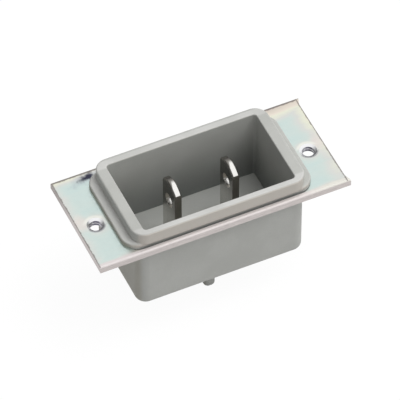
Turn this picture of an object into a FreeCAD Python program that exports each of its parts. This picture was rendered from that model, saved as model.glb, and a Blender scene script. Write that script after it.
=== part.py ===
"""Panel inlet with two flat blades, built from its driving dimensions in millimetres.

Frame: the origin lies on the face of the mounting plate, midway between its two threaded holes.
+Z points out of the socket mouth, +X along the plate, and +Y is across it.
The moulding and the plate's window share a centre line behind the hole line; the blades stand between the two.
"""
import FreeCAD
import Part
import Sketcher
import math
import os
import re
from FreeCAD import Rotation, Vector

DRIVING_SIZES = (
    ("rim_length", 38.0, "moulded rim along X, outside"),
    ("rim_width", 22.0, "moulded rim along Y, outside"),
    ("rim_height", 3.75, "rim above the plate face"),
    ("rim_foot", 0.85, "plate face to the underside of the rim"),
    ("rim_corner", 3.0, "outside corner radius of the rim"),
    ("rim_edge", 0.4, "rounding of the rim's outer lip"),
    ("mouth_edge", 0.25, "rounding of the rim's inner lip"),
    ("end_wall", 2.4, "rim wall at the two ends"),
    ("front_wall", 1.4, "rim wall at the front"),
    ("back_wall", 1.85, "rim wall at the back"),
    ("cavity_depth", 17.75, "rim lip to cup floor"),
    ("cavity_corner", 0.7, "corner radius of the cup"),
    ("cavity_draft", 0.8, "draft of the cup walls in degrees"),
    ("floor_thickness", 3.7, "cup floor"),
    ("end_ledge", 1.8, "collar beyond the rim at each end"),
    ("collar_inset", 0.35, "collar and spigot inside the rim at front and back"),
    ("collar_height", 1.1, "collar above the plate face"),
    ("collar_corner", 3.4, "corner radius of the collar"),
    ("collar_edge", 0.4, "rounding of the collar's upper edge"),
    ("spigot_corner", 2.3, "corner radius of the moulding inside the plate window"),
    ("base_end_step", 0.55, "lower box inside the rim at each end"),
    ("base_corner", 2.4, "corner radius of the lower box"),
    ("base_edge", 1.2, "rounding of the lower box's bottom edge"),
    ("snap_width", 8.0, "retaining wedge across the end wall"),
    ("snap_height", 3.0, "retaining wedge along the end wall"),
    ("snap_reach", 0.45, "retaining wedge beyond the plate window"),
    ("partition_thickness", 2.5, "insulating wall between the terminals"),
    ("partition_margin", 0.85, "insulating wall beyond the tail at each side"),
    ("partition_overhang", 1.1, "insulating wall below the tail"),
    ("partition_corner", 1.0, "corner radius of the insulating wall"),
    ("partition_edge", 0.7, "rounding of the insulating wall's lower edge"),
    ("plate_thickness", 1.6, "steel plate"),
    ("front_rail", 0.95, "plate in front of its window"),
    ("back_rail", 1.5, "plate behind its window"),
    ("plate_roll", 0.5, "rolled upper edge along front and back of the plate"),
    ("hole_gap", 2.7, "collar end to hole centre"),
    ("hole_margin", 3.75, "hole centre to plate end"),
    ("hole_offset", 1.3, "centre line of moulding and window behind the hole line"),
    ("thread_bore", 2.5, "threaded hole, inside the thread"),
    ("entry_diameter", 3.6, "countersink of the threaded hole"),
    ("entry_angle", 110.0, "full angle of that countersink in degrees"),
    ("ear_reach", 0.65, "pointed ear left at each right-hand corner by cropping"),
    ("ear_run", 1.8, "slanted run of that ear along the plate end"),
    ("window_gap", 0.1, "play between moulding and plate window"),
    ("window_corner", 3.0, "corner radius of the plate window"),
    ("seat_overlap", 0.5, "collar end resting on the plate"),
    ("snap_gap", 0.1, "play between plate and retaining wedge"),
    ("blade_spacing", 12.7, "blade centre to blade centre"),
    ("blade_offset", 0.5, "blade line in front of the cup's centre line"),
    ("blade_width", 5.8, "blade across"),
    ("blade_thickness", 1.5, "blade stock"),
    ("blade_length", 17.6, "blade above the cup floor"),
    ("tip_crown", 1.1, "rise of the domed tip"),
    ("tip_bevel", 0.25, "bevel of each face along the domed tip"),
    ("blade_hole", 3.2, "detent hole"),
    ("blade_hole_height", 12.6, "cup floor to detent hole centre"),
    ("slot_gap", 0.05, "play between blade and floor slot"),
    ("stake_reach", 0.35, "swaged ear beside the blade"),
    ("stake_height", 0.8, "swaged ear above the floor"),
    ("tail_width", 7.8, "terminal tail across"),
    ("tail_margin", 4.0, "terminal screw centre to tail end"),
    ("tail_corner", 1.0, "cut corner of the tail"),
    ("terminal_gap", 0.3, "play between clamp washer and floor"),
    ("thread_gap", 0.05, "play around each plain shank"),
    ("screw_diameter", 3.5, "terminal screw shank"),
    ("screw_length", 6.0, "terminal screw below its head"),
    ("screw_point", 0.4, "bevelled screw point"),
    ("head_diameter", 6.6, "terminal screw head"),
    ("head_height", 2.3, "terminal screw head"),
    ("head_round", 0.9, "rounding of the screw head"),
    ("drive_width", 0.9, "drive slot across"),
    ("drive_arm", 1.8, "cross arm from the screw axis"),
    ("drive_depth", 1.1, "drive slot below the head"),
    ("clamp_size", 7.4, "square clamp washer"),
    ("clamp_thickness", 1.0, "square clamp washer"),
    ("clamp_corner", 0.8, "corner radius of the clamp washer"),
    ("clamp_bore_gap", 0.2, "play of the washers around the screw"),
    ("spring_diameter", 6.2, "spring washer, outside"),
    ("spring_thickness", 0.9, "spring washer"),
    ("spring_split", 0.5, "gap in the spring washer"),
    ("spring_lean", 0.35, "half the lean of that gap"),
)

# Sizes that follow from the driving dimensions
CAVITY_LENGTH = "(rim_length - 2 * end_wall)"
CAVITY_WIDTH = "(rim_width - front_wall - back_wall)"
CAVITY_MIDDLE = "(front_wall / 2 - back_wall / 2)"
FLOOR_TOP = "(rim_height - cavity_depth)"
FLOOR_UNDER = "(rim_height - cavity_depth - floor_thickness)"
BASE_LENGTH = "(rim_length - 2 * base_end_step)"
COLLAR_LENGTH = "(rim_length + 2 * end_ledge)"
COLLAR_WIDTH = "(rim_width - 2 * collar_inset)"
WINDOW_LENGTH = f"({COLLAR_LENGTH} - 2 * seat_overlap)"
WINDOW_WIDTH = "(rim_width + 2 * window_gap)"
SPIGOT_LENGTH = f"({WINDOW_LENGTH} - 2 * window_gap)"
SPIGOT_DEPTH = "(plate_thickness + snap_gap)"
HOLE_X = f"({COLLAR_LENGTH} / 2 + hole_gap)"
PLATE_HALF_LENGTH = f"({HOLE_X} + hole_margin)"
PLATE_FRONT = f"({WINDOW_WIDTH} / 2 + front_rail)"
PLATE_BACK = f"({WINDOW_WIDTH} / 2 + back_rail)"
BLADE_TIP = f"({FLOOR_TOP} + blade_length)"
BLADE_SHOULDER = f"({BLADE_TIP} - tip_crown)"
TIP_RADIUS = "(blade_width * blade_width / (8 * tip_crown) + tip_crown / 2)"
TERMINAL_DROP = "(clamp_size / 2 + terminal_gap)"
TERMINAL_Z = f"({FLOOR_UNDER} - {TERMINAL_DROP})"
TAIL_LENGTH = f"({TERMINAL_DROP} + tail_margin)"
TAIL_END = f"({FLOOR_UNDER} - {TAIL_LENGTH})"
TAIL_FACE = "(blade_spacing / 2 + blade_thickness / 2)"
BLADE_LINE = "(hole_offset - blade_offset)"
HEAD_SEAT = "(clamp_thickness + spring_thickness)"
HEAD_TOP = f"({HEAD_SEAT} + head_height)"
SHANK_RADIUS = "(screw_diameter / 2)"
WASHER_BORE = "(screw_diameter / 2 + clamp_bore_gap)"

TOUCH = 1e-4

doc = FreeCAD.newDocument("panel_inlet")
sheet = doc.addObject("Spreadsheet::Sheet", "dims")
for row, (alias, value, meaning) in enumerate(DRIVING_SIZES, start=1):
    sheet.set(f"A{row}", alias)
    sheet.set(f"B{row}", str(value))
    sheet.set(f"C{row}", meaning)
    sheet.setAlias(f"B{row}", alias)
doc.recompute()


def bound(expression):
    """The expression with every alias written as a reference to its cell."""
    return re.sub(r"[a-z]\w*", lambda word: "dims." + word.group(0), str(expression))


def size(expression):
    """Present value of an expression over the sheet."""
    return float(sheet.evalExpression(bound(expression)))


def new_body(label):
    body = doc.addObject("PartDesign::Body", label)
    body.Label = label
    return body


def new_sketch(body, role, name, lift=None):
    """Sketch on one of the body's own origin planes, lifted along its normal where asked."""
    plane = next(item for item in body.Origin.OriginFeatures if item.Role == role)
    sketch = body.newObject("Sketcher::SketchObject", name)
    sketch.AttachmentSupport = (plane, [""])
    sketch.MapMode = "FlatFace"
    if lift is not None:
        sketch.setExpression("AttachmentOffset.Base.z", bound(lift))
    return sketch


def constrain(sketch, kind, *where, to):
    """Dimension of a sketch, tied to the sheet."""
    index = sketch.addConstraint(Sketcher.Constraint(kind, *where, size(to)))
    sketch.setExpression(f"Constraints[{index}]", bound(to))


def outline(sketch, points):
    """Closed straight-sided outline through corners given as pairs of expressions."""
    first = sketch.GeometryCount
    corners = [Vector(size(x), size(y), 0) for x, y in points]
    count = len(corners)
    for index in range(count):
        sketch.addGeometry(Part.LineSegment(corners[index], corners[(index + 1) % count]))
    for index in range(count):
        following = first + (index + 1) % count
        sketch.addConstraint(Sketcher.Constraint("Coincident", first + index, 2, following, 1))
    for index, (x, y) in enumerate(points):
        constrain(sketch, "DistanceX", -1, 1, first + index, 1, to=x)
        constrain(sketch, "DistanceY", -1, 1, first + index, 1, to=y)


def rounded_rectangle(sketch, length, width, radius, rise="0"):
    """Rectangle with four equal round corners, its centre on the sketch's upright axis."""
    first = sketch.GeometryCount
    x = size(length) / 2
    y = size(width) / 2
    r = size(radius)
    up = Vector(0, size(rise))
    quarter = math.pi / 2
    sides = (
        (Vector(-x + r, -y), Vector(x - r, -y)),
        (Vector(x, -y + r), Vector(x, y - r)),
        (Vector(x - r, y), Vector(-x + r, y)),
        (Vector(-x, y - r), Vector(-x, -y + r)),
    )
    centres = (Vector(x - r, -y + r), Vector(x - r, y - r), Vector(-x + r, y - r), Vector(-x + r, -y + r))
    for turn, ((start, end), centre) in enumerate(zip(sides, centres)):
        sketch.addGeometry(Part.LineSegment(start + up, end + up))
        circle = Part.Circle(centre + up, Vector(0, 0, 1), r)
        sketch.addGeometry(Part.ArcOfCircle(circle, (turn - 1) * quarter, turn * quarter))
    lines = [first + 2 * turn for turn in range(4)]
    arcs = [first + 2 * turn + 1 for turn in range(4)]
    for turn in range(4):
        sketch.addConstraint(Sketcher.Constraint("Tangent", lines[turn], 2, arcs[turn], 1))
        sketch.addConstraint(Sketcher.Constraint("Tangent", arcs[turn], 2, lines[(turn + 1) % 4], 1))
        level = "Horizontal" if turn % 2 == 0 else "Vertical"
        sketch.addConstraint(Sketcher.Constraint(level, lines[turn]))
    for arc in arcs[1:]:
        sketch.addConstraint(Sketcher.Constraint("Equal", arcs[0], arc))
    constrain(sketch, "DistanceX", -1, 1, lines[1], 1, to=f"{length} / 2")
    constrain(sketch, "DistanceX", lines[3], 1, lines[1], 1, to=length)
    constrain(sketch, "DistanceY", -1, 1, lines[2], 1, to=f"{rise} + {width} / 2")
    constrain(sketch, "DistanceY", lines[0], 1, lines[2], 1, to=width)
    constrain(sketch, "Radius", arcs[0], to=radius)


def circle_at(sketch, x, y, radius):
    index = sketch.addGeometry(Part.Circle(Vector(size(x), size(y), 0), Vector(0, 0, 1), size(radius)))
    constrain(sketch, "DistanceX", -1, 1, index, 3, to=x)
    constrain(sketch, "DistanceY", -1, 1, index, 3, to=y)
    constrain(sketch, "Radius", index, to=radius)


def dome(sketch, width, base, radius, rise):
    """Arc that rises over a level chord, closed by that chord, about the sketch's upright axis."""
    chord = sketch.GeometryCount
    arc = chord + 1
    right = Vector(size(width) / 2, size(base), 0)
    left = Vector(-right.x, right.y, 0)
    crown = Vector(0, size(base) + size(rise), 0)
    sketch.addGeometry(Part.LineSegment(left, right))
    sketch.addGeometry(Part.Arc(right, crown, left))
    sketch.addConstraint(Sketcher.Constraint("Coincident", chord, 2, arc, 1))
    sketch.addConstraint(Sketcher.Constraint("Coincident", arc, 2, chord, 1))
    for end, side in ((1, "-1"), (2, "1")):
        constrain(sketch, "DistanceX", -1, 1, chord, end, to=f"{side} * {width} / 2")
        constrain(sketch, "DistanceY", -1, 1, chord, end, to=base)
    constrain(sketch, "Radius", arc, to=radius)


def add_feature(body, kind, name, sketch, length=None, side="One side", flip=False, taper=None):
    """Pad or Pocket of a sketch; without a length it runs through everything."""
    feature = body.newObject(f"PartDesign::{kind}", name)
    feature.Profile = sketch
    feature.SideType = side
    feature.Reversed = flip
    if length is None:
        feature.Type = "ThroughAll"
    else:
        feature.setExpression("Length", bound(length))
    if taper is not None:
        feature.setExpression("TaperAngle", bound(taper))
    before = body.Shape.Volume if body.Shape and not body.Shape.isNull() else 0.0
    doc.recompute()
    grown = body.Shape.Volume - before
    if (grown > 0) != (kind == "Pad"):
        raise RuntimeError(f"{name} changed the volume the wrong way by {grown:.4f}")
    return feature


def soften(body, kind, name, amount, chosen):
    """Fillet or Chamfer on every edge of the body that the test picks, in the body's own frame."""
    tip = body.Tip
    names = [f"Edge{n}" for n, edge in enumerate(tip.Shape.Edges, start=1) if chosen(edge)]
    if not names:
        raise RuntimeError(f"{name} found no edge")
    feature = body.newObject(f"PartDesign::{kind}", name)
    feature.Base = (tip, names)
    feature.setExpression("Radius" if kind == "Fillet" else "Size", bound(amount))
    doc.recompute()
    return feature


def at_height(edge, level):
    """Whether an edge lies flat at a height."""
    box = edge.BoundBox
    return abs(box.ZMin - level) < TOUCH and abs(box.ZMax - level) < TOUCH


def place(body, x="0", y="hole_offset", z="0", half_turn=False):
    """Placement from the sheet; a half turn about Z makes the left-hand copy."""
    if half_turn:
        body.Placement = FreeCAD.Placement(Vector(), Rotation(Vector(0, 0, 1), 180))
    for axis, amount in zip("xyz", (x, y, z)):
        body.setExpression(f"Placement.Base.{axis}", bound(amount))


def make_moulding():
    """Cup, rim, collar, lower box, wedges and partition as one moulding."""
    body = new_body("body")

    base = new_sketch(body, "XY_Plane", "base_outline", lift=f"-{SPIGOT_DEPTH}")
    rounded_rectangle(base, BASE_LENGTH, "rim_width", "base_corner")
    add_feature(body, "Pad", "base_block", base, f"0 - {SPIGOT_DEPTH} - {FLOOR_UNDER}", flip=True)
    bottom = size(FLOOR_UNDER)
    soften(body, "Fillet", "base_rounding", "base_edge", lambda edge: at_height(edge, bottom))

    neck = new_sketch(body, "XY_Plane", "spigot_outline")
    rounded_rectangle(neck, SPIGOT_LENGTH, COLLAR_WIDTH, "spigot_corner")
    add_feature(body, "Pad", "spigot", neck, SPIGOT_DEPTH, flip=True)

    collar = new_sketch(body, "XY_Plane", "collar_outline")
    rounded_rectangle(collar, COLLAR_LENGTH, COLLAR_WIDTH, "collar_corner")
    add_feature(body, "Pad", "collar", collar, "collar_height")
    collar_top = size("collar_height")
    soften(body, "Fillet", "collar_rounding", "collar_edge", lambda edge: at_height(edge, collar_top))

    rim = new_sketch(body, "XY_Plane", "rim_outline", lift="rim_foot")
    rounded_rectangle(rim, "rim_length", "rim_width", "rim_corner")
    add_feature(body, "Pad", "rim", rim, "rim_height - rim_foot")
    lip = size("rim_height")
    soften(body, "Fillet", "rim_rounding", "rim_edge", lambda edge: at_height(edge, lip))

    mouth = new_sketch(body, "XY_Plane", "mouth_outline", lift="rim_height")
    rounded_rectangle(mouth, CAVITY_LENGTH, CAVITY_WIDTH, "cavity_corner", CAVITY_MIDDLE)
    add_feature(body, "Pocket", "cup", mouth, "cavity_depth", taper="-cavity_draft")
    half_length = size(CAVITY_LENGTH) / 2 + TOUCH
    half_width = size(CAVITY_WIDTH) / 2 + TOUCH
    mouth_middle = size(CAVITY_MIDDLE)

    def at_mouth(edge):
        centre = edge.BoundBox.Center
        inside = abs(centre.x) < half_length and abs(centre.y - mouth_middle) < half_width
        return inside and at_height(edge, lip)

    soften(body, "Fillet", "mouth_rounding", "mouth_edge", at_mouth)

    slots = new_sketch(body, "XY_Plane", "slot_outlines")
    for sign in ("-1", "1"):
        middle = f"{sign} * blade_spacing / 2"
        reach_x = "(blade_thickness / 2 + slot_gap)"
        reach_y = "(blade_width / 2 + slot_gap)"
        outline(slots, [
            (f"{middle} - {reach_x}", f"0 - blade_offset - {reach_y}"),
            (f"{middle} + {reach_x}", f"0 - blade_offset - {reach_y}"),
            (f"{middle} + {reach_x}", f"{reach_y} - blade_offset"),
            (f"{middle} - {reach_x}", f"{reach_y} - blade_offset"),
        ])
    add_feature(body, "Pocket", "blade_slots", slots)

    wedges = new_sketch(body, "XZ_Plane", "wedge_outlines")
    for sign in ("-1", "1"):
        wall = f"{sign} * {BASE_LENGTH} / 2"
        outline(wedges, [
            (wall, f"-{SPIGOT_DEPTH}"),
            (f"{sign} * ({WINDOW_LENGTH} / 2 + snap_reach)", f"-{SPIGOT_DEPTH}"),
            (wall, f"0 - {SPIGOT_DEPTH} - snap_height"),
        ])
    add_feature(body, "Pad", "snap_wedges", wedges, "snap_width", side="Symmetric")

    barrier = new_sketch(body, "XY_Plane", "partition_outline", lift=FLOOR_UNDER)
    barrier_width = "(tail_width + 2 * partition_margin)"
    rounded_rectangle(barrier, "partition_thickness", barrier_width, "partition_corner", "-blade_offset")
    depth = f"({TAIL_LENGTH} + partition_overhang)"
    add_feature(body, "Pad", "partition", barrier, depth, flip=True)
    foot = size(f"{FLOOR_UNDER} - {depth}")
    soften(body, "Fillet", "partition_rounding", "partition_edge", lambda edge: at_height(edge, foot))
    place(body)
    return body


def make_plate():
    """Blanked steel plate with its window; cropping left a pointed ear at both right-hand corners."""
    body = new_body("mounting_plate")
    end = PLATE_HALF_LENGTH
    ear = f"({PLATE_HALF_LENGTH} + ear_reach)"
    blank = new_sketch(body, "XY_Plane", "blank_outline")
    outline(blank, [
        (f"-{end}", f"-{PLATE_FRONT}"),
        (ear, f"-{PLATE_FRONT}"),
        (end, f"ear_run - {PLATE_FRONT}"),
        (end, f"{PLATE_BACK} - ear_run"),
        (ear, PLATE_BACK),
        (f"-{end}", PLATE_BACK),
    ])
    add_feature(body, "Pad", "blank", blank, "plate_thickness", flip=True)

    def long_face_edge(line):
        return at_height(line, 0.0) and line.BoundBox.YLength < TOUCH

    soften(body, "Fillet", "rolled_edges", "plate_roll", long_face_edge)

    window = new_sketch(body, "XY_Plane", "window_outline")
    rounded_rectangle(window, WINDOW_LENGTH, WINDOW_WIDTH, "window_corner")
    add_feature(body, "Pocket", "window", window)

    holes = new_sketch(body, "XY_Plane", "hole_outlines")
    for sign in ("-1", "1"):
        circle_at(holes, f"{sign} * {HOLE_X}", "-hole_offset", "thread_bore / 2")
    doc.recompute()
    threaded = body.newObject("PartDesign::Hole", "threaded_holes")
    threaded.Profile = holes
    threaded.DepthType = "ThroughAll"
    threaded.setExpression("Diameter", bound("thread_bore"))
    threaded.HoleCutType = "Countersink"
    threaded.HoleCutCustomValues = True
    threaded.setExpression("HoleCutDiameter", bound("entry_diameter"))
    threaded.setExpression("HoleCutCountersinkAngle", bound("entry_angle"))
    doc.recompute()
    place(body)
    return body


def make_blade(label, sign):
    """Contact blade, its swaged ears above the floor and the terminal tail below it, in one strip."""
    body = new_body(label)
    half = "(blade_width / 2)"
    ear = "(blade_width / 2 + stake_reach)"
    tail = "(tail_width / 2)"
    tail_cut = "(tail_width / 2 - tail_corner)"
    right_side = [
        (tail_cut, TAIL_END),
        (tail, f"{TAIL_END} + tail_corner"),
        (tail, FLOOR_UNDER),
        (half, FLOOR_UNDER),
        (half, FLOOR_TOP),
        (ear, FLOOR_TOP),
        (half, f"{FLOOR_TOP} + stake_height"),
        (half, BLADE_SHOULDER),
    ]
    left_side = [(f"-{across}", up) for across, up in reversed(right_side)]
    strip = new_sketch(body, "YZ_Plane", "strip_outline")
    outline(strip, right_side + left_side)
    add_feature(body, "Pad", "strip", strip, "blade_thickness", side="Symmetric")

    tip = new_sketch(body, "YZ_Plane", "tip_outline")
    dome(tip, "blade_width", BLADE_SHOULDER, TIP_RADIUS, "tip_crown")
    add_feature(body, "Pad", "domed_tip", tip, "blade_thickness", side="Symmetric")
    shoulder = size(BLADE_SHOULDER) - TOUCH

    def on_dome(edge):
        return edge.BoundBox.ZMin > shoulder and edge.BoundBox.XLength < TOUCH

    soften(body, "Chamfer", "bevelled_tip", "tip_bevel", on_dome)

    holes = new_sketch(body, "YZ_Plane", "hole_outlines")
    circle_at(holes, "0", f"{FLOOR_TOP} + blade_hole_height", "blade_hole / 2")
    circle_at(holes, "0", TERMINAL_Z, f"{SHANK_RADIUS} + thread_gap")
    add_feature(body, "Pocket", "round_holes", holes, side="Symmetric")
    place(body, x=f"{sign} * blade_spacing / 2", y=BLADE_LINE)
    return body


def place_terminal(body, sign):
    """Seat a terminal piece, modelled outward along X, against the outer face of its tail."""
    place(body, x=f"{sign} * {TAIL_FACE}", y=BLADE_LINE, z=TERMINAL_Z, half_turn=sign < 0)


def make_screw(label, sign):
    """Terminal screw along X with a slotted cross recess in its rounded head."""
    body = new_body(label)
    point = f"({HEAD_SEAT} - screw_length)"
    section = new_sketch(body, "XZ_Plane", "half_section")
    outline(section, [
        (point, "0"),
        (HEAD_TOP, "0"),
        (HEAD_TOP, "head_diameter / 2"),
        (HEAD_SEAT, "head_diameter / 2"),
        (HEAD_SEAT, SHANK_RADIUS),
        (f"{point} + screw_point", SHANK_RADIUS),
        (point, f"{SHANK_RADIUS} - screw_point"),
    ])
    turned = body.newObject("PartDesign::Revolution", "turned")
    turned.Profile = section
    turned.ReferenceAxis = (section, ["H_Axis"])
    turned.Angle = 360
    doc.recompute()
    crown = size(HEAD_TOP)

    def at_crown(edge):
        return abs(edge.BoundBox.XMin - crown) < TOUCH and abs(edge.BoundBox.XMax - crown) < TOUCH

    soften(body, "Fillet", "head_rounding", "head_round", at_crown)

    half = "(drive_width / 2)"
    slot = new_sketch(body, "YZ_Plane", "slot_outline", lift=HEAD_TOP)
    outline(slot, [
        ("-head_diameter / 2", f"-{half}"),
        ("head_diameter / 2", f"-{half}"),
        ("head_diameter / 2", half),
        ("-head_diameter / 2", half),
    ])
    add_feature(body, "Pocket", "drive_slot", slot, "drive_depth")
    cross = new_sketch(body, "YZ_Plane", "cross_outline", lift=HEAD_TOP)
    outline(cross, [
        (f"-{half}", "-drive_arm"),
        (half, "-drive_arm"),
        (half, "drive_arm"),
        (f"-{half}", "drive_arm"),
    ])
    add_feature(body, "Pocket", "drive_cross", cross, "drive_depth")
    place_terminal(body, sign)
    return body


def make_clamp_washer(label, sign):
    """Square washer that presses the wire on the tail."""
    body = new_body(label)
    square = new_sketch(body, "YZ_Plane", "square_outline")
    rounded_rectangle(square, "clamp_size", "clamp_size", "clamp_corner")
    circle_at(square, "0", "0", WASHER_BORE)
    add_feature(body, "Pad", "square", square, "clamp_thickness")
    place_terminal(body, sign)
    return body


def make_spring_washer(label, sign):
    """Split ring between screw head and clamp washer, with a leaning gap."""
    body = new_body(label)
    ring = new_sketch(body, "YZ_Plane", "ring_outline", lift="clamp_thickness")
    circle_at(ring, "0", "0", "spring_diameter / 2")
    circle_at(ring, "0", "0", WASHER_BORE)
    add_feature(body, "Pad", "ring", ring, "spring_thickness")

    split = new_sketch(body, "XY_Plane", "split_outline")
    near = "clamp_thickness"
    far = HEAD_SEAT
    half = "(spring_split / 2)"
    outline(split, [
        (near, f"0 - spring_lean - {half}"),
        (far, f"spring_lean - {half}"),
        (far, f"spring_lean + {half}"),
        (near, f"0 - spring_lean + {half}"),
    ])
    add_feature(body, "Pocket", "split", split, "spring_diameter", flip=True)
    place_terminal(body, sign)
    return body


sub_parts = [make_moulding(), make_plate()]
for hand, direction in (("left", -1), ("right", 1)):
    sub_parts.append(make_blade(f"blade_{hand}", direction))
    sub_parts.append(make_screw(f"terminal_screw_{hand}", direction))
    sub_parts.append(make_clamp_washer(f"clamp_washer_{hand}", direction))
    sub_parts.append(make_spring_washer(f"spring_washer_{hand}", direction))
doc.recompute()

for item in doc.Objects:
    if "Invalid" in item.State or "Error" in item.State:
        raise RuntimeError(f"{item.Name} failed: {item.State}")
for item in sub_parts:
    if item.Shape.isNull() or not item.Shape.isValid() or len(item.Shape.Solids) != 1:
        raise RuntimeError(f"{item.Label} is not one sound solid")

os.makedirs("parts", exist_ok=True)
for item in sub_parts:
    item.Shape.exportStep(f"parts/{item.Label}.step")
    box = item.Shape.BoundBox
    print(f"{item.Label}: volume {item.Shape.Volume:.2f}, X {box.XMin:.2f} to {box.XMax:.2f}, "
          f"Y {box.YMin:.2f} to {box.YMax:.2f}, Z {box.ZMin:.2f} to {box.ZMax:.2f}")
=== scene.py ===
"""Looks of a two-blade panel inlet: a grey moulding in a passivated zinc plate, bright blades, zinc screws.

Metres, in the frame of the solids: origin on the plate's face midway between its threaded holes,
+Z out of the mouth, +X along the plate, +Y away from the viewer.

Pairs of numbers are the start and the end of a fade, or the levels that it runs between.
"""

import math

import bmesh
import bpy
from mathutils import Matrix, Vector


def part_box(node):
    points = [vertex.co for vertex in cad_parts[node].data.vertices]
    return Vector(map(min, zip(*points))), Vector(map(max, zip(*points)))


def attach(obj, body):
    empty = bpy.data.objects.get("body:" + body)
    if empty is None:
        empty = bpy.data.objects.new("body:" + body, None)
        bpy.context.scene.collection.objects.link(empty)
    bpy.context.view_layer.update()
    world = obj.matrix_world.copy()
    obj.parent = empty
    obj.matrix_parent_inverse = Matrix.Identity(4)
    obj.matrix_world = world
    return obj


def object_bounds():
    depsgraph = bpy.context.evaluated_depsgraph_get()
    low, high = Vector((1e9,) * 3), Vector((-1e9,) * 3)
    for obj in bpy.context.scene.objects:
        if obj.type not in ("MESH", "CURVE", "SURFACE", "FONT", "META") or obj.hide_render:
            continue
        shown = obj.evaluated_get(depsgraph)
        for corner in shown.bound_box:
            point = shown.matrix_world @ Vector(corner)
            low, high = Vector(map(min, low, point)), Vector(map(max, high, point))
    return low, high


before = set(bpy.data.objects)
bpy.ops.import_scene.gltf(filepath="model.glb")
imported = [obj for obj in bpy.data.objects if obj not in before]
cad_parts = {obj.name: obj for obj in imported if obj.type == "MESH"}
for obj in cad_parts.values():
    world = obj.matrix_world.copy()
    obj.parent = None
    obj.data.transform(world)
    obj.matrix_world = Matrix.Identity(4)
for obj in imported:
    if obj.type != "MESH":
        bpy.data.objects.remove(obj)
solid_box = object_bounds()

MM = 0.001
WHOLE = (0.0, 1.0)

# Places on the solids that more than one finish or thread refers to
HOLE_X = 23.5 * MM
TERMINAL_Y = 0.8 * MM
TERMINAL_Z = -21.7 * MM
ON_WALL = 0.05 * MM


class Nodes:
    """A node tree, and the few kinds of node that the finishes are made of."""

    def __init__(self, tree):
        self.tree = tree

    def feed(self, target, source):
        """Link another node's output to a socket, or give the socket a plain value or colour."""
        if isinstance(source, bpy.types.NodeSocket):
            self.tree.links.new(source, target)
        elif target.type == "RGBA":
            target.default_value = (*source, 1.0)
        else:
            target.default_value = source

    def add(self, kind, inputs=None, **settings):
        """Add a node, with its settings and its named or numbered inputs."""
        made = self.tree.nodes.new(kind)
        for name, value in settings.items():
            setattr(made, name, value)
        for key, source in (inputs or {}).items():
            self.feed(made.inputs[key], source)
        return made

    def calc(self, operation, *terms, clamp=False):
        made = self.add("ShaderNodeMath", dict(enumerate(terms)), operation=operation, use_clamp=clamp)
        return made.outputs[0]

    def chain(self, operation, terms):
        """Carry one operation along several terms."""
        made = terms[0]
        for term in terms[1:]:
            made = self.calc(operation, made, term)
        return made

    def product(self, *terms):
        return self.chain("MULTIPLY", terms)

    def total(self, *terms):
        return self.chain("ADD", terms)

    def largest(self, *terms):
        return self.chain("MAXIMUM", terms)

    def less(self, value, amount):
        return self.calc("SUBTRACT", value, amount)

    def without(self, mask):
        """Everything that a mask leaves out."""
        return self.less(1.0, mask)

    def absolute(self, value):
        return self.calc("ABSOLUTE", value)

    def below(self, value, limit):
        return self.calc("LESS_THAN", value, limit)

    def above(self, value, limit):
        return self.calc("GREATER_THAN", value, limit)

    def fade(self, value, span, levels=WHOLE):
        """Smooth step of a value: the first level at the start of the span, the second at its end."""
        inputs = {"Value": value, "From Min": span[0], "From Max": span[1],
                  "To Min": levels[0], "To Max": levels[1]}
        return self.add("ShaderNodeMapRange", inputs, interpolation_type="SMOOTHSTEP", clamp=True).outputs[0]

    def tint(self, share, first, second):
        """Mix of two colours."""
        return self.add("ShaderNodeMix", {0: share, 6: first, 7: second}, data_type="RGBA").outputs[2]

    def noise(self, place, per_metre, detail=2.0, roughness=0.5):
        inputs = {"Vector": place, "Scale": per_metre, "Detail": detail, "Roughness": roughness}
        return self.add("ShaderNodeTexNoise", inputs).outputs["Fac"]

    def wander(self, place, per_metre, width, detail=2.0):
        """Uneven offset about zero, for borders that don't run straight."""
        middle = 0.5
        return self.product(self.less(self.noise(place, per_metre, detail), middle), width)

    def stretched(self, place, scale):
        """Coordinates stretched along the axes, for drawn or rolled grain."""
        return self.add("ShaderNodeMapping", {"Vector": place, "Scale": scale}).outputs[0]

    def split(self, vector):
        return self.add("ShaderNodeSeparateXYZ", {"Vector": vector}).outputs

    def length(self, vector):
        return self.add("ShaderNodeVectorMath", {0: vector}, operation="LENGTH").outputs["Value"]

    def reach(self, across, along):
        """Distance from a point in a plane, given the offsets on two axes."""
        return self.length(self.add("ShaderNodeCombineXYZ", {"X": across, "Y": along}).outputs[0])

    def beside(self, x, half_spacing):
        """Offset along X from the nearer of two places that mirror each other."""
        return self.less(x, self.product(self.calc("SIGN", x), half_spacing))

    def group(self, group, **inputs):
        return self.add("ShaderNodeGroup", inputs, node_tree=group).outputs


class Group(Nodes):
    """An empty shader node group with named sockets."""

    def __init__(self, name, inputs, outputs):
        super().__init__(bpy.data.node_groups.new(name, "ShaderNodeTree"))
        for label, kind in inputs:
            self.tree.interface.new_socket(name=label, in_out="INPUT", socket_type=kind)
        for label, kind in outputs:
            self.tree.interface.new_socket(name=label, in_out="OUTPUT", socket_type=kind)
        self.enter = self.add("NodeGroupInput").outputs
        self.leave = self.add("NodeGroupOutput").inputs


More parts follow.
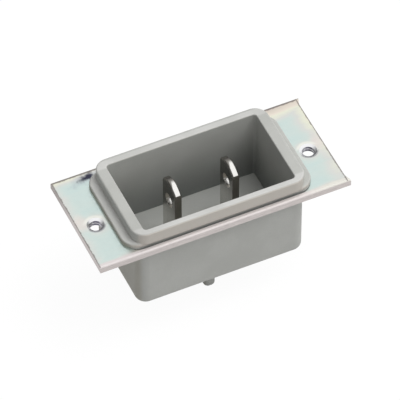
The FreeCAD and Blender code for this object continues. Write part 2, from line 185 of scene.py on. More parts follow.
class Finish(Nodes):
    """A material: where each point of its surface lies, which way it faces, and its shader."""

    def __init__(self, name):
        self.material = bpy.data.materials.new(name)
        self.material.use_nodes = True
        super().__init__(self.material.node_tree)
        self.place = self.add("ShaderNodeTexCoord").outputs["Object"]
        self.x, self.y, self.z = self.split(self.place)
        self.facing = self.split(self.add("ShaderNodeNewGeometry").outputs["Normal"])

    def coat(self, channels, height, strength, depth):
        """Feed the shader's channels, raise the grain and hand out the material."""
        shader = self.tree.nodes["Principled BSDF"]
        for name, source in channels.items():
            self.feed(shader.inputs[name], source)
        bump = self.add("ShaderNodeBump", {"Height": height, "Strength": strength, "Distance": depth})
        self.feed(shader.inputs["Normal"], bump.outputs[0])
        return self.material


# Grain and wear that the finishes share
FINE_DETAIL = 3.0
FINE_ROUGHNESS = 0.6
COARSE_HEIGHT = 1.5
MOTTLE_SPAN = (0.3, 0.7)
SPECKLE_SPAN = (0.35, 0.7)
EDGE_STARTS = (0.10, 0.40)
EDGE_ENDS = (0.98, 0.85)
CHIPS_PER_METRE = 900.0
CHIP_DETAIL = 3.0
CHIP_SPAN = (0.25, 0.65)
CHIP_LEVELS = (0.35, 1.0)

# Passivation film on zinc, from thin to thick
FILM_COLOURS = (
    (0.00, (0.65, 0.775, 0.75)),
    (0.16, (0.69, 0.78, 0.745)),
    (0.30, (0.755, 0.765, 0.73)),
    (0.44, (0.87, 0.875, 0.73)),
    (0.56, (0.87, 0.79, 0.70)),
    (0.68, (0.76, 0.69, 0.60)),
    (0.80, (0.56, 0.48, 0.50)),
    (0.92, (0.26, 0.25, 0.36)),
    (1.00, (0.10, 0.11, 0.22)),
)


def grain_group():
    """Fine grain: a height for bump, a slow mottle and a fine speckle."""
    group = Group(
        "surface_grain",
        [("Place", "NodeSocketVector"), ("Fine", "NodeSocketFloat"), ("Coarse", "NodeSocketFloat")],
        [("Height", "NodeSocketFloat"), ("Mottle", "NodeSocketFloat"), ("Speckle", "NodeSocketFloat")])
    place = group.enter["Place"]
    fine = group.noise(place, group.enter["Fine"], FINE_DETAIL, FINE_ROUGHNESS)
    coarse = group.noise(place, group.enter["Coarse"])
    group.feed(group.leave["Height"], group.total(fine, group.product(coarse, COARSE_HEIGHT)))
    group.feed(group.leave["Mottle"], group.fade(coarse, MOTTLE_SPAN))
    group.feed(group.leave["Speckle"], group.fade(fine, SPECKLE_SPAN))
    return group.tree


def wear_group():
    """Worn edges: rounded or bevelled bands between faces along and across an axis, broken up by chips."""
    group = Group(
        "edge_wear",
        [("Place", "NodeSocketVector"), ("Facing", "NodeSocketFloat")],
        [("Wear", "NodeSocketFloat")])
    lean = group.absolute(group.enter["Facing"])
    turned = group.product(group.fade(lean, EDGE_STARTS), group.fade(lean, EDGE_ENDS))
    chips = group.noise(group.enter["Place"], CHIPS_PER_METRE, CHIP_DETAIL)
    group.feed(group.leave["Wear"], group.product(turned, group.fade(chips, CHIP_SPAN, CHIP_LEVELS)))
    return group.tree


def film_group():
    """Colour of a passivation film by its thickness."""
    group = Group("passivation_film", [("Thickness", "NodeSocketFloat")], [("Colour", "NodeSocketColor")])
    ramp = group.add("ShaderNodeValToRGB", {"Fac": group.enter["Thickness"]})
    marks = ramp.color_ramp.elements
    while len(marks) < len(FILM_COLOURS):
        marks.new(1.0)
    for mark, (position, colour) in zip(marks, FILM_COLOURS):
        mark.position = position
        mark.color = (*colour, 1.0)
    group.feed(group.leave["Colour"], ramp.outputs["Color"])
    return group.tree


GRAIN = grain_group()
WEAR = wear_group()
FILM = film_group()


# Moulding: its grey
GREY_DARK = (0.475, 0.48, 0.455)
GREY_PALE = (0.515, 0.52, 0.495)
GREY_SPECK = (0.42, 0.425, 0.40)
GREY_SPECK_SHARE = 0.25
GREY_EDGE = (0.66, 0.65, 0.62)
GREY_EDGE_SHARE = 0.15
GREY_ROUGHNESS = (0.46, 0.60)
GREY_SPECULAR = 0.35
GREY_BUMP = 0.25
GREY_BUMP_DEPTH = 0.02 * MM

# Moulding: painted highlight on the long lips and the left ledge
LEVEL_FACE = (0.7, 0.95)
LIP_HEIGHT = 3.75 * MM
LIP_RISE = (LIP_HEIGHT - 0.4 * MM, LIP_HEIGHT)
LIP_INNER_BORDER = (-1.0 * MM, -0.4 * MM)
LIP_OUTER_BORDER = (1.4 * MM, 1.1 * MM)
LIP_FRONT_TO_BACK = (2.0 * MM, 9.0 * MM)
LIP_SHARES = (1.0, 0.9)
LEDGE_HEIGHT = 1.1 * MM
LEDGE_RIGHT_TO_LEFT = (5.0 * MM, -10.0 * MM)
LEDGE_SHARES = (0.0, 0.8)
LIP_HIGHLIGHT_GREY = (0.67, 0.665, 0.65)
LIP_HIGHLIGHT_SHARES = (0.45, 0.70)

# Moulding: painted light on the front of the rim, and painted shade on the left side of the collar and box
TURNED_SIDE = (-0.5, -0.9)
RIM_FOOT = (0.1 * MM, 0.4 * MM)
FRONT_LIGHT_YELLOW = (0.60, 0.565, 0.515)
COLLAR_TOP = (1.1 * MM, 0.7 * MM)
BOX_TO_COLLAR = (-0.3 * MM, 0.1 * MM)
LEFT_SHADE_SHARES = (0.6, 0.9)
LEFT_SHADE_BROWN = (0.40, 0.378, 0.315)

# Moulding: the cup, and how far painted shade darkens it towards its bottom
CUP_HALF_LENGTH = 16.6 * MM
CUP_HALF_WIDTH = 9.375 * MM
CUP_MIDDLE_Y = 1.075 * MM
CUP_MOUTH = 3.5 * MM
CUP_FLOOR = -14.0 * MM
WALL_TO_FLOOR = (0.3, 0.9)
CUP_SHADE_SHARES = (0.84, 0.25)
CUP_SHADE_CURVE = 1.3
CUP_LEFT = (-15.0 * MM, -4.0 * MM)
CUP_LEFT_SHARES = (0.75, 1.0)
CUP_SHADE = (0.16, 0.17, 0.165)


def plain_grey(grey, grain):
    """Mottled and speckled grey, a little paler on turned edges."""
    wear = grey.group(WEAR, Place=grey.place, Facing=grey.facing["Z"])["Wear"]
    mottled = grey.tint(grain["Mottle"], GREY_DARK, GREY_PALE)
    speckled = grey.tint(grey.product(grain["Speckle"], GREY_SPECK_SHARE), mottled, GREY_SPECK)
    return grey.tint(grey.product(wear, GREY_EDGE_SHARE), speckled, GREY_EDGE)


def painted_lip_highlight(grey, grain, past_side):
    """Painted highlight on the long lips beside the cup and on the left ledge."""
    level = grey.fade(grey.facing["Z"], LEVEL_FACE)
    on_lip = grey.product(level, grey.fade(grey.z, LIP_RISE))
    inner_lip = grey.product(grey.fade(past_side, LIP_INNER_BORDER), grey.fade(past_side, LIP_OUTER_BORDER),
                             grey.fade(grey.y, LIP_FRONT_TO_BACK, LIP_SHARES))
    on_ledge = grey.product(level, grey.calc("COMPARE", grey.z, LEDGE_HEIGHT, ON_WALL))
    left_ledge = grey.product(on_ledge, grey.fade(grey.x, LEDGE_RIGHT_TO_LEFT, LEDGE_SHARES))
    lip_highlight = grey.largest(grey.product(on_lip, inner_lip), left_ledge)
    return grey.product(lip_highlight, grey.fade(grain["Mottle"], WHOLE, LIP_HIGHLIGHT_SHARES))


def painted_front_light_left_shade(grey, colour, out_of_cup):
    """Painted light on the front of the rim, yellower and paler, and painted shade on the left side from the
    collar down, browner and darker.
    """
    front_wall = grey.product(grey.fade(grey.facing["Y"], TURNED_SIDE), grey.fade(grey.z, RIM_FOOT))
    front_lit = grey.tint(grey.product(front_wall, out_of_cup), colour, FRONT_LIGHT_YELLOW)
    left_side = grey.product(grey.fade(grey.facing["X"], TURNED_SIDE), grey.fade(grey.z, COLLAR_TOP),
                             grey.fade(grey.z, BOX_TO_COLLAR, LEFT_SHADE_SHARES))
    return grey.tint(grey.product(left_side, out_of_cup), front_lit, LEFT_SHADE_BROWN)


def cup_painted_shade(grey, in_cup):
    """Painted shade that deepens towards the bottom of the cup, more on its walls than on its floor, a little
    less at its left end.
    """
    most = grey.fade(grey.facing["Z"], WALL_TO_FLOOR, CUP_SHADE_SHARES)
    deepening = grey.calc("POWER", grey.fade(grey.z, (CUP_MOUTH, CUP_FLOOR)), CUP_SHADE_CURVE)
    deepening = grey.product(deepening, grey.fade(grey.x, CUP_LEFT, CUP_LEFT_SHARES))
    return grey.product(in_cup, deepening, most)


def grey_moulding():
    """Satin grey thermoset: faint flow mottle, fine grain and paler worn edges, with painted highlight on the
    lips and left ledge, painted light on the front of the rim, and painted shade on the left side and deep in
    the cup.
    """
    grey = Finish("grey_moulding")
    grain = grey.group(GRAIN, Place=grey.place, Fine=5200.0, Coarse=160.0)
    past_end = grey.less(grey.absolute(grey.x), CUP_HALF_LENGTH)
    past_side = grey.less(grey.absolute(grey.less(grey.y, CUP_MIDDLE_Y)), CUP_HALF_WIDTH)
    in_cup = grey.product(grey.below(past_end, ON_WALL), grey.below(past_side, ON_WALL),
                          grey.above(grey.z, CUP_FLOOR - ON_WALL))

    # Painted highlight on the long lips and the left ledge
    lip_lit = grey.tint(painted_lip_highlight(grey, grain, past_side), plain_grey(grey, grain), LIP_HIGHLIGHT_GREY)
    # Painted light on the front of the rim and painted shade on the left side
    side_lit = painted_front_light_left_shade(grey, lip_lit, grey.without(in_cup))
    return grey.coat({
        # Painted shade deep in the cup
        "Base Color": grey.tint(cup_painted_shade(grey, in_cup), side_lit, CUP_SHADE),
        "Roughness": grey.fade(grain["Speckle"], WHOLE, GREY_ROUGHNESS),
        "Specular IOR Level": GREY_SPECULAR,
    }, grain["Height"], GREY_BUMP, GREY_BUMP_DEPTH)


# Plate: its outline, and the uneven borders of its film
PLATE_LOW, PLATE_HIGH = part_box("mounting_plate")
PLATE_HALF_LENGTH = 27.25 * MM
ROLLED_GRAIN = (0.12, 1.0, 1.0)
DRIFT_PER_METRE = 130.0
DRIFT_WIDTH = 2.2 * MM
PLATE_FLAT = (0.5, 0.9)
PLATE_ROUGHNESS = (0.28, 0.40)
PLATE_BUMP = 0.35
PLATE_BUMP_DEPTH = 0.004 * MM

# Plate: how far the film reaches from each edge and how thick it is there, left and right
LEFT_TO_RIGHT = (-5.0 * MM, 25.0 * MM)
FILM_FULL = 0.2 * MM
BACK_REACH = (3.4 * MM, 5.6 * MM)
BACK_DEPTH = (0.62, 1.0)
END_REACH = (3.0 * MM, 5.0 * MM)
END_DRIFT = 1.6
END_FRONT_TO_BACK = (-4.0 * MM, 10.0 * MM)
END_FRONT_DEPTH = (0.32, 0.44)
END_BACK_DEPTH = (0.36, 0.62)
FRONT_REACH = (2.2 * MM, 0.6 * MM)
FRONT_DEPTH = (0.0, 0.45)
HALO_REACH = (4.2 * MM, 2.0 * MM)
HALO_DRIFT = 0.5
EDGE_THICKNESS = 0.62
HALO_THICKNESS = 0.20
MOTTLE_THICKNESS = 0.10

# Plate: matt strip along the front, pink and at its right end cream
STRIP_BORDER = (1.1 * MM, 0.8 * MM)
STRIP_DRIFT = 0.2
STRIP_SHARE = 0.85
STRIP_PINK_TO_CREAM = (17.0 * MM, 24.0 * MM)
STRIP_PINK = (0.82, 0.755, 0.75)
STRIP_CREAM = (0.84, 0.82, 0.755)
STRIP_METALLIC = (1.0, 0.55)
STRIP_ROUGHER = 0.25

# Plate: pink blush beyond the holes
BLUSH_X = 26.2 * MM
BLUSH_Y = 1.6 * MM
BLUSH_SQUEEZE = 0.6
BLUSH_BORDER = (2.0 * MM, 0.4 * MM)
BLUSH_SHARES = (0.0, 0.55)
BLUSH = (0.88, 0.79, 0.74)

# Plate: painted shadow at the back, left of the moulding, blue-black with an uneven edge
SHADOW_SPOT_PLACE = (-19.9 * MM, 12.3 * MM, 0.0)
SHADOW_SPOT_TURN = (0.0, 0.0, math.radians(16.0))
SHADOW_SPOT_STRETCH = (2.4, 0.9, 1.0)
SHADOW_SPOT_EDGE_PER_METRE = 800.0
SHADOW_SPOT_EDGE_WIDTH = 2.0 * MM
SHADOW_SPOT_EDGE_DETAIL = 3.0
SHADOW_RING_BORDER = (2.2 * MM, 0.9 * MM)
SHADOW_RING_SHARES = (0.0, 0.25)
SHADOW_RING = (0.30, 0.29, 0.40)
SHADOW_CORE_BORDER = (1.25 * MM, 0.10 * MM)
SHADOW_CORE_SHARES = (0.0, 0.97)
SHADOW_CORE = (0.035, 0.035, 0.065)

# Plate: sheared edges, the burred outline at the ends and the back with painted shade on the end and back
# faces, and painted shade on the window's walls
CUT_FACE = (0.80, 0.25)
CUT_DARK = (0.52, 0.475, 0.465)
CUT_PALE = (0.65, 0.605, 0.585)
CUT_ROUGHER = 0.08
CUT_SHADE_TURN = (0.15, 0.7)
CUT_SHADE_FRONT_TO_BACK = (3.0 * MM, 12.0 * MM)
CUT_SHADE_SHARES = (0.08, 0.70)
HOLE_SURROUND = 2.2 * MM
BACK_EASE = 0.45 * MM
RAGGED_PER_METRE = 1500.0
RAGGED_WIDTH = 0.5 * MM
BURR_BORDER = (0.34 * MM, 0.12 * MM)
BURR_SHARES = (0.0, 0.8)
BURR_END = -0.04 * MM
BURR_AND_SHADE_DARK = (0.22, 0.19, 0.18)
WINDOW_HALF_LENGTH = 20.3 * MM
WINDOW_HALF_WIDTH = 11.1 * MM
WINDOW_MIDDLE_Y = 1.3 * MM
WINDOW_SHADE = (0.07, 0.065, 0.075)

# Plate: painted highlight behind each hole, bright cone, painted shade on its near side, and painted shade in
# the bore, darkest towards one side
HOLE_GLINT_BORDER = (2.7 * MM, 2.1 * MM)
HOLE_GLINT_BACK = (0.5 * MM, 1.5 * MM)
HOLE_GLINT_SHARES = (0.0, 0.8)
HOLE_GLINT_PALE = (0.94, 0.94, 0.87)
ENTRY_RADIUS = 1.8 * MM
CONE_BORDER = (1.04 * ENTRY_RADIUS, 0.98 * ENTRY_RADIUS)
CONE_SHARE = 0.9
CONE_BRIGHT = (0.94, 0.94, 0.96)
SHADE_BORDER = (2.2 * MM, 1.9 * MM)
SHADE_FRONT = (-0.3 * MM, -1.1 * MM)
SHADE_SHARES = (0.0, 0.8)
SHADE_FACE = (0.4, 0.6)
SHADE_GREY = (0.34, 0.34, 0.36)
BORE_RADIUS = 1.25 * MM
ON_BORE = 0.04 * MM
BORE_SHADE_WAY = (0.5, 0.866)
BORE_SHADE_SPAN = (0.80 * BORE_RADIUS, 0.92 * BORE_RADIUS)
BORE_SHADE_SHARES = (0.55, 0.95)
BORE_SHADE = (0.14, 0.13, 0.18)


class PlateFinish(Finish):
    """The plate's material, with the distances that its film, edges and holes depend on."""

    def __init__(self):
        super().__init__("zinc_plate")
        rolled = self.stretched(self.place, ROLLED_GRAIN)
        self.grain = self.group(GRAIN, Place=rolled, Fine=6000.0, Coarse=420.0)
        self.drift = self.wander(self.place, DRIFT_PER_METRE, DRIFT_WIDTH)
        self.from_middle = self.absolute(self.x)
        self.from_end = self.less(PLATE_HALF_LENGTH, self.from_middle)
        self.from_back = self.less(PLATE_HIGH.y, self.y)
        self.from_front = self.less(self.y, PLATE_LOW.y)
        self.from_hole = self.reach(self.less(self.from_middle, HOLE_X), self.y)
        self.flat = self.absolute(self.facing["Z"])
        self.cut = self.fade(self.flat, CUT_FACE)
        uneven_front = self.total(self.from_front, self.product(self.drift, STRIP_DRIFT))
        self.strip = self.fade(uneven_front, STRIP_BORDER, (0.0, STRIP_SHARE))


def film_thickness(plate):
    """Film thickness: thin in the middle, thicker towards the edges, most of all at the back on the right."""
    rightness = plate.fade(plate.x, LEFT_TO_RIGHT)
    back_reach = plate.fade(rightness, WHOLE, BACK_REACH)
    back_depth = plate.fade(rightness, WHOLE, BACK_DEPTH)
    uneven_back = plate.total(plate.from_back, plate.drift)
    at_back = plate.fade(uneven_back, (back_reach, FILM_FULL), (0.0, back_depth))

    end_reach = plate.fade(rightness, WHOLE, END_REACH)
    end_front = plate.fade(rightness, WHOLE, END_FRONT_DEPTH)
    end_back = plate.fade(rightness, WHOLE, END_BACK_DEPTH)
    end_depth = plate.fade(plate.y, END_FRONT_TO_BACK, (end_front, end_back))
    uneven_end = plate.total(plate.from_end, plate.product(plate.drift, END_DRIFT))
    at_end = plate.fade(uneven_end, (end_reach, FILM_FULL), (0.0, end_depth))

    at_front = plate.fade(plate.total(plate.from_front, plate.drift), FRONT_REACH, FRONT_DEPTH)
    edge = plate.largest(at_back, at_end, at_front)
    halo = plate.fade(plate.total(plate.from_hole, plate.product(plate.drift, HALO_DRIFT)), HALO_REACH)
    thickness = plate.largest(plate.product(edge, EDGE_THICKNESS), plate.product(halo, HALO_THICKNESS))
    return plate.calc("ADD", thickness, plate.product(plate.grain["Mottle"], MOTTLE_THICKNESS), clamp=True)


def stained_film_and_shadow_spot(plate):
    """Colour of the film, with the strip along its front, the blush beyond the holes and a painted shadow at
    the back left.
    """
    film = plate.group(FILM, Thickness=film_thickness(plate))["Colour"]
    strip_colour = plate.tint(plate.fade(plate.x, STRIP_PINK_TO_CREAM), STRIP_PINK, STRIP_CREAM)
    film = plate.tint(plate.strip, film, strip_colour)

    blush_reach = plate.reach(plate.less(plate.from_middle, BLUSH_X),
                              plate.product(plate.less(plate.y, BLUSH_Y), BLUSH_SQUEEZE))
    blush = plate.fade(plate.total(blush_reach, plate.drift), BLUSH_BORDER, BLUSH_SHARES)
    film = plate.tint(blush, film, BLUSH)

    # Painted shadow on the plate by the moulding's back left corner
    shadow_spot_frame = {"Vector": plate.place, "Location": SHADOW_SPOT_PLACE, "Rotation": SHADOW_SPOT_TURN,
                    "Scale": SHADOW_SPOT_STRETCH}
    in_shadow_spot = plate.add("ShaderNodeMapping", shadow_spot_frame, vector_type="TEXTURE").outputs[0]
    shadow_spot_edge = plate.wander(plate.place, SHADOW_SPOT_EDGE_PER_METRE, SHADOW_SPOT_EDGE_WIDTH, SHADOW_SPOT_EDGE_DETAIL)
    shadow_spot_reach = plate.total(plate.length(in_shadow_spot), shadow_spot_edge)
    film = plate.tint(plate.fade(shadow_spot_reach, SHADOW_RING_BORDER, SHADOW_RING_SHARES), film, SHADOW_RING)
    return plate.tint(plate.fade(shadow_spot_reach, SHADOW_CORE_BORDER, SHADOW_CORE_SHARES), film, SHADOW_CORE)


def cut_edges(plate, film):
    """Sheared edges, burred along the ends and the back, with painted shade on the end and back faces and on
    the window's walls.
    """
    cut_colour = plate.tint(plate.grain["Speckle"], CUT_DARK, CUT_PALE)
    sheared = plate.tint(plate.cut, film, cut_colour)

    # Painted shade on the end and back faces, darker towards the back; the same dark colour marks the burr
    turned = plate.largest(plate.absolute(plate.facing["X"]), plate.facing["Y"])
    cut_shade = plate.product(plate.fade(turned, CUT_SHADE_TURN), plate.above(plate.from_hole, HOLE_SURROUND),
                         plate.fade(plate.y, CUT_SHADE_FRONT_TO_BACK, CUT_SHADE_SHARES))
    from_rim = plate.calc("MINIMUM", plate.from_end, plate.less(plate.from_back, BACK_EASE))
    ragged = plate.total(from_rim, plate.wander(plate.place, RAGGED_PER_METRE, RAGGED_WIDTH))
    burr = plate.product(plate.fade(ragged, BURR_BORDER, BURR_SHARES), plate.above(plate.from_end, BURR_END),
                         plate.fade(plate.flat, PLATE_FLAT))
    burred_and_shaded = plate.tint(plate.largest(cut_shade, burr), sheared, BURR_AND_SHADE_DARK)

    # Painted shade on the window's walls, in the gap beside the moulding
    in_length = plate.below(plate.from_middle, WINDOW_HALF_LENGTH + ON_WALL)
    off_middle = plate.absolute(plate.less(plate.y, WINDOW_MIDDLE_Y))
    in_width = plate.below(off_middle, WINDOW_HALF_WIDTH + ON_WALL)
    return plate.tint(plate.product(in_length, in_width, plate.cut), burred_and_shaded, WINDOW_SHADE)


def tapped_holes(plate, colour):
    """Painted highlight behind, bright cone with painted shade on its near side, and painted shade in the
    bore of each threaded hole.
    """
    # Painted highlight on the plate behind each hole
    hole_glint = plate.product(plate.fade(plate.from_hole, HOLE_GLINT_BORDER),
                         plate.fade(plate.y, HOLE_GLINT_BACK, HOLE_GLINT_SHARES),
                         plate.fade(plate.facing["Z"], PLATE_FLAT))
    glinted = plate.tint(hole_glint, colour, HOLE_GLINT_PALE)
    cone = plate.fade(plate.from_hole, CONE_BORDER)
    machined = plate.tint(plate.product(cone, CONE_SHARE), glinted, CONE_BRIGHT)
    # Painted shade on the near side of each hole
    shade = plate.product(plate.fade(plate.from_hole, SHADE_BORDER),
                          plate.fade(plate.y, SHADE_FRONT, SHADE_SHARES),
                          plate.fade(plate.facing["Z"], SHADE_FACE))
    shaded = plate.tint(shade, machined, SHADE_GREY)

    # Painted shade in the bore, darkest towards one side
    in_bore = plate.below(plate.absolute(plate.less(plate.from_hole, BORE_RADIUS)), ON_BORE)
    towards_bore_shade = plate.total(plate.product(plate.beside(plate.x, HOLE_X), BORE_SHADE_WAY[0]),
                                plate.product(plate.y, BORE_SHADE_WAY[1]))
    bore_shade = plate.fade(towards_bore_shade, BORE_SHADE_SPAN, BORE_SHADE_SHARES)
    return plate.tint(plate.product(in_bore, bore_shade), shaded, BORE_SHADE)


def zinc_plate():
    """Zinc plating with an iridescent film, sheared edges and two threaded holes."""
    plate = PlateFinish()
    matt_strip = plate.product(plate.strip, plate.fade(plate.flat, PLATE_FLAT))
    rough = plate.fade(plate.grain["Speckle"], WHOLE, PLATE_ROUGHNESS)
    return plate.coat({
        "Base Color": tapped_holes(plate, cut_edges(plate, stained_film_and_shadow_spot(plate))),
        "Metallic": plate.fade(matt_strip, (0.0, STRIP_SHARE), STRIP_METALLIC),
        "Roughness": plate.total(rough, plate.product(plate.cut, CUT_ROUGHER),
                                 plate.product(matt_strip, STRIP_ROUGHER)),
    }, plate.grain["Height"], PLATE_BUMP, PLATE_BUMP_DEPTH)


# Blades: nickel, with painted shade that darkens it unevenly from low on the blade upwards
DRAWN_GRAIN = (1.0, 1.0, 0.06)
BLADE_SHADE_RISE = (-8.0 * MM, 0.5 * MM)
BLADE_SHADE_MOTTLE = 0.15
NICKEL_PALE = (0.58, 0.57, 0.54)
NICKEL_SHADE = (0.24, 0.23, 0.21)
NICKEL_ROUGHNESS = (0.14, 0.26)
NICKEL_BUMP = 0.25
NICKEL_BUMP_DEPTH = 0.01 * MM

# Blades: painted highlight on the low part of the detent and on half of the domed tip
BLADE_X = 6.35 * MM
BLADE_HALF_WIDTH = 2.9 * MM
DETENT_Z = -1.4 * MM
DETENT_RADIUS = 1.6 * MM
DETENT_TILT = 0.45
DETENT_LOW = (0.0, -0.4 * MM)
DOME_FACE = (0.60, 0.72)
DOME_BACK = (0.8 * MM, -0.3 * MM)
HIGHLIGHT_RUN = (-BLADE_HALF_WIDTH, 0.6 * MM)
HIGHLIGHT_EDGE = (-0.85 * MM, -0.10 * MM)
HIGHLIGHT_BORDER = (-0.12 * MM, 0.12 * MM)
BLADE_HIGHLIGHT = (0.92, 0.91, 0.88)

# Blades: brown cut edges and worn corners
BLADE_CUT_FACE = (0.55, 0.9)
BLADE_CUT_SHARE = 0.80
BLADE_CUT_ROUGHER = 0.30
BLADE_BROWN = (0.46, 0.43, 0.38)
BLADE_WEAR_SHARE = 0.35
BLADE_WORN = (0.62, 0.60, 0.55)


def painted_dome_highlight(blade, from_blade, out_of_detent):
    """Painted highlight on the tip's dome: narrow at the back and wider towards the front."""
    highlight_edge = blade.fade(from_blade, HIGHLIGHT_RUN, HIGHLIGHT_EDGE)
    past_edge = blade.less(blade.beside(blade.x, BLADE_X), highlight_edge)
    return blade.product(blade.fade(blade.facing["Z"], DOME_FACE), out_of_detent,
                         blade.fade(from_blade, DOME_BACK), blade.fade(past_edge, HIGHLIGHT_BORDER))


def bright_blade():
    """Nickel over brass: drawn lines along the blade, brown cut edges, painted shade on the nickel, and
    painted highlights on the tip and in the detent.
    """
    blade = Finish("bright_blade")
    drawn = blade.stretched(blade.place, DRAWN_GRAIN)
    grain = blade.group(GRAIN, Place=drawn, Fine=7000.0, Coarse=600.0)
    wear = blade.group(WEAR, Place=blade.place, Facing=blade.facing["X"])["Wear"]
    # Painted shade on the nickel, darker higher up, unevenly
    blade_shade = blade.calc("ADD", blade.fade(blade.z, BLADE_SHADE_RISE),
                         blade.product(grain["Mottle"], BLADE_SHADE_MOTTLE), clamp=True)
    shaded_nickel = blade.tint(blade_shade, NICKEL_PALE, NICKEL_SHADE)

    from_blade = blade.less(blade.y, TERMINAL_Y)
    from_detent = blade.less(blade.z, DETENT_Z)
    in_detent = blade.below(blade.reach(from_blade, from_detent), DETENT_RADIUS + ON_WALL)
    # Painted highlight on the low part of the detent and on the tip's dome
    detent_rise = blade.total(from_detent, blade.product(from_blade, DETENT_TILT))
    detent_glint = blade.product(in_detent, blade.fade(detent_rise, DETENT_LOW))
    dome_highlight = painted_dome_highlight(blade, from_blade, blade.without(in_detent))
    highlighted = blade.tint(blade.largest(dome_highlight, detent_glint), shaded_nickel, BLADE_HIGHLIGHT)

    cut = blade.product(blade.fade(blade.absolute(blade.facing["Y"]), BLADE_CUT_FACE),
                        blade.without(detent_glint))
    browned = blade.tint(blade.product(cut, BLADE_CUT_SHARE), highlighted, BLADE_BROWN)
    rough = blade.fade(grain["Speckle"], WHOLE, NICKEL_ROUGHNESS)
    return blade.coat({
        "Base Color": blade.tint(blade.product(wear, BLADE_WEAR_SHARE), browned, BLADE_WORN),
        "Metallic": 1.0,
        "Roughness": blade.total(rough, blade.product(cut, BLADE_CUT_ROUGHER)),
    }, grain["Height"], NICKEL_BUMP, NICKEL_BUMP_DEPTH)


# Terminal screws and washers
SCREW_FILM = (0.10, 0.46)
SCREW_GREY_SHARE = 0.72
SCREW_GREY = (0.40, 0.40, 0.385)
SCREW_WEAR_SHARE = 0.5
SCREW_WORN = (0.74, 0.74, 0.72)
SCREW_ROUGHNESS = (0.26, 0.42)
SCREW_BUMP = 0.35
SCREW_BUMP_DEPTH = 0.004 * MM


def zinc_fastener():
    """Zinc-plated steel of the terminal screws and washers, with a faint film and brighter edges."""
    screw = Finish("zinc_fastener")
    grain = screw.group(GRAIN, Place=screw.place, Fine=5600.0, Coarse=700.0)
    wear = screw.group(WEAR, Place=screw.place, Facing=screw.facing["X"])["Wear"]
    film = screw.group(FILM, Thickness=screw.fade(grain["Mottle"], WHOLE, SCREW_FILM))["Colour"]
    metal = screw.tint(SCREW_GREY_SHARE, film, SCREW_GREY)
    return screw.coat({
        "Base Color": screw.tint(screw.product(wear, SCREW_WEAR_SHARE), metal, SCREW_WORN),
        "Metallic": 1.0,
        "Roughness": screw.fade(grain["Speckle"], WHOLE, SCREW_ROUGHNESS),
    }, grain["Height"], SCREW_BUMP, SCREW_BUMP_DEPTH)


def dress(finish, *names):
    """Give solids their finish."""
    for name in names:
        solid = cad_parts[name]
        solid.data.materials.clear()
        solid.data.materials.append(finish)


# Threads, cut as helical ridges in the plate's holes and on the free ends of the terminal screws
THREAD_STEPS = 48
THREAD_FOOT = 0.42
THREAD_RUN_OUT = THREAD_STEPS / 2
THREAD_MERGE = 0.001 * MM
PLATE_THREAD = {"pitch": 0.5 * MM, "root": 1.26 * MM, "crest": 1.13 * MM,
                "start": -1.52 * MM, "end": -0.45 * MM}
SCREW_THREAD = {"pitch": 0.6 * MM, "root": 1.74 * MM, "crest": 1.88 * MM,
                "start": 3.5 * MM, "end": 5.5 * MM}


def add_object(name, data):
    made = bpy.data.objects.new(name, data)
    bpy.context.scene.collection.objects.link(made)
    return made


def thread_ridge(name, place_on_axis, pitch, root, crest, start, end):
    """One helical thread ridge between two levels of an axis, with a sharp crest and pointed run-outs."""
    count = int((end - start) / pitch * THREAD_STEPS)
    half_foot = THREAD_FOOT * pitch
    points = []
    for step in range(count + 1):
        angle = 2.0 * math.pi * step / THREAD_STEPS
        level = start + (end - start) * step / count
        run_out = min(1.0, step / THREAD_RUN_OUT, (count - step) / THREAD_RUN_OUT)
        peak = root + (crest - root) * run_out
        for radius, rise in ((root, -half_foot), (peak, 0.0), (root, half_foot)):
            height = min(max(level + rise * run_out, start), end)
            points.append(place_on_axis(radius * math.cos(angle), radius * math.sin(angle), height))
    faces = []
    for here in range(0, 3 * count, 3):
        beyond = here + 3
        for side, following in ((0, 1), (1, 2), (2, 0)):
            faces.append((here + side, beyond + side, beyond + following, here + following))
    faces.append((0, 1, 2))
    faces.append((3 * count + 2, 3 * count + 1, 3 * count))
    mesh = bpy.data.meshes.new(name)
    mesh.from_pydata(points, [], faces)
    mesh.validate()
    shape = bmesh.new()
    shape.from_mesh(mesh)
    bmesh.ops.remove_doubles(shape, verts=shape.verts, dist=THREAD_MERGE)
    bmesh.ops.recalc_face_normals(shape, faces=shape.faces)
    shape.to_mesh(mesh)
    shape.free()
    return add_object(name, mesh)


def cut_threads(plate_finish, screw_finish):
    """Ridges in the plate's two holes and on the inner ends of the two terminal screws."""
    for hand, side in (("left", -1.0), ("right", 1.0)):
        tapped = thread_ridge(f"plate_thread_{hand}",
                              lambda a, b, h: (side * HOLE_X + a, b, h),
                              **PLATE_THREAD)
        tapped.data.materials.append(plate_finish)
        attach(tapped, "root")
        rolled = thread_ridge(f"screw_thread_{hand}",
                              lambda a, b, h: (side * h, TERMINAL_Y + side * a, TERMINAL_Z + b),
                              **SCREW_THREAD)
        rolled.data.materials.append(screw_finish)
        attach(rolled, "root")


# Floor, dome and lamp
WHITE = (1.0, 1.0, 1.0)
FLOOR_GAP = 0.05 * MM
FLOOR_HALF = 2.0
FLOOR_LIT = (0.55, 0.55, 0.55)
FLOOR_SEEN = (0.07, 0.07, 0.07)
FLOOR_GLOW = 0.945
DOME_TOWARDS = Vector((0.42, -0.40, 0.82)).normalized()
DOME_SPAN = (-0.4, 1.0)
DOME_LIGHT = (0.10, 0.74)
DOME_MIRRORED_SPAN = (-0.25, 0.40)
DOME_MIRRORED_LIGHT = (0.15, 1.0)
DOME_SEEN = 1.0
LAMP_PLACE = Vector((0.28, -0.10, 0.75))
LAMP_SIDE = 0.60
LAMP_POWER = 4.0


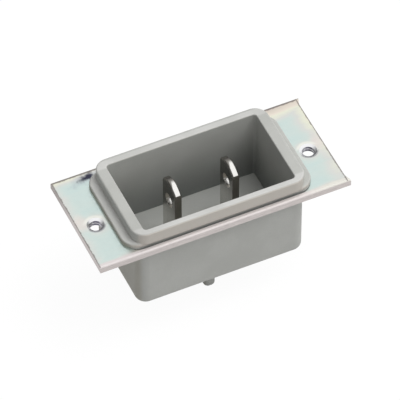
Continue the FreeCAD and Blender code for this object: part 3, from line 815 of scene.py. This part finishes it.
def white_floor():
    """Pale floor that keeps the shadow, seen as white by the eye and by metal."""
    material = bpy.data.materials.new("white_floor")
    material.use_nodes = True
    floor = Nodes(material.node_tree)
    floor.tree.nodes.remove(floor.tree.nodes["Principled BSDF"])
    path = floor.add("ShaderNodeLightPath").outputs
    seen = floor.largest(path["Is Camera Ray"], path["Is Glossy Ray"], path["Is Transmission Ray"])
    matt = floor.add("ShaderNodeBsdfDiffuse", {"Color": floor.tint(seen, FLOOR_LIT, FLOOR_SEEN)})
    glow = floor.add("ShaderNodeEmission", {"Color": WHITE, "Strength": floor.product(seen, FLOOR_GLOW)})
    both = floor.add("ShaderNodeAddShader", {0: matt.outputs[0], 1: glow.outputs[0]})
    floor.feed(floor.tree.nodes["Material Output"].inputs["Surface"], both.outputs[0])
    return material


def lay_floor():
    low = solid_box[0][2] - FLOOR_GAP
    mesh = bpy.data.meshes.new("floor")
    corners = [(x * FLOOR_HALF, y * FLOOR_HALF, low) for x, y in ((-1, -1), (1, -1), (1, 1), (-1, 1))]
    mesh.from_pydata(corners, [], [(0, 1, 2, 3)])
    floor = add_object("floor", mesh)
    mesh.materials.append(white_floor())


def studio_dome():
    """Soft dome, brightest above, in front and to the right; plain white where it is seen directly."""
    world = bpy.data.worlds.new("studio_dome")
    bpy.context.scene.world = world
    world.use_nodes = True
    dome = Nodes(world.node_tree)
    way = dome.add("ShaderNodeTexCoord").outputs["Generated"]
    turn = dome.add("ShaderNodeVectorMath", {0: way, 1: DOME_TOWARDS}, operation="DOT_PRODUCT")
    lean = turn.outputs["Value"]
    light = dome.fade(lean, DOME_SPAN, DOME_LIGHT)
    mirrored = dome.fade(lean, DOME_MIRRORED_SPAN, DOME_MIRRORED_LIGHT)
    path = dome.add("ShaderNodeLightPath").outputs
    seen = dome.largest(path["Is Camera Ray"], path["Is Transmission Ray"])
    strength = light
    for share, other in ((path["Is Glossy Ray"], mirrored), (seen, DOME_SEEN)):
        strength = dome.add("ShaderNodeMix", {0: share, 2: strength, 3: other}, data_type="FLOAT").outputs[0]
    background = dome.tree.nodes["Background"]
    dome.feed(background.inputs["Color"], WHITE)
    dome.feed(background.inputs["Strength"], strength)


def hang_softbox():
    """Square lamp above and to the right, aimed at the origin and not mirrored in the metal."""
    lamp = bpy.data.lights.new("softbox", "AREA")
    lamp.shape = "SQUARE"
    lamp.size = LAMP_SIDE
    lamp.energy = LAMP_POWER
    holder = add_object("softbox", lamp)
    holder.visible_glossy = False
    holder.location = LAMP_PLACE
    holder.rotation_euler = (-LAMP_PLACE).to_track_quat("-Z", "Y").to_euler()


# Camera, fitted to the photograph: which way it faces, how far it stands and where it looks
AZIMUTH = math.radians(24.84)
ELEVATION = math.radians(49.19)
CAMERA_DISTANCE = 907.0 * MM
AIM = Vector((0.398, 1.3, 0.0)) * MM
AIM_RIGHT = -0.353 * MM
AIM_UP = -3.58 * MM
PICTURE_SIDE = 400
FOCAL_PIXELS = 4518.0
SENSOR_SIDE = 36.0
CLIP_NEAR = 0.05
CLIP_FAR = 20.0


def set_camera():
    right = Vector((math.cos(AZIMUTH), -math.sin(AZIMUTH), 0.0))
    towards = Vector((-math.sin(AZIMUTH) * math.cos(ELEVATION), -math.cos(AZIMUTH) * math.cos(ELEVATION),
                      math.sin(ELEVATION)))
    up = towards.cross(right)
    lens = bpy.data.cameras.new("camera")
    lens.sensor_fit = "HORIZONTAL"
    lens.sensor_width = SENSOR_SIDE
    lens.lens = FOCAL_PIXELS / PICTURE_SIDE * SENSOR_SIDE
    lens.clip_start = CLIP_NEAR
    lens.clip_end = CLIP_FAR
    camera = add_object("camera", lens)
    turn = Matrix((right, up, towards)).transposed().to_4x4()
    spot = AIM + right * AIM_RIGHT + up * AIM_UP + towards * CAMERA_DISTANCE
    camera.matrix_world = Matrix.Translation(spot) @ turn
    bpy.context.scene.camera = camera


plating = zinc_plate()
screw_zinc = zinc_fastener()
dress(grey_moulding(), "body")
dress(plating, "mounting_plate")
dress(bright_blade(), "blade_left", "blade_right")
dress(screw_zinc, "terminal_screw_left", "terminal_screw_right", "clamp_washer_left", "clamp_washer_right",
      "spring_washer_left", "spring_washer_right")
cut_threads(plating, screw_zinc)
lay_floor()
studio_dome()
hang_softbox()
set_camera()
bpy.context.scene.view_settings.view_transform = "Standard"
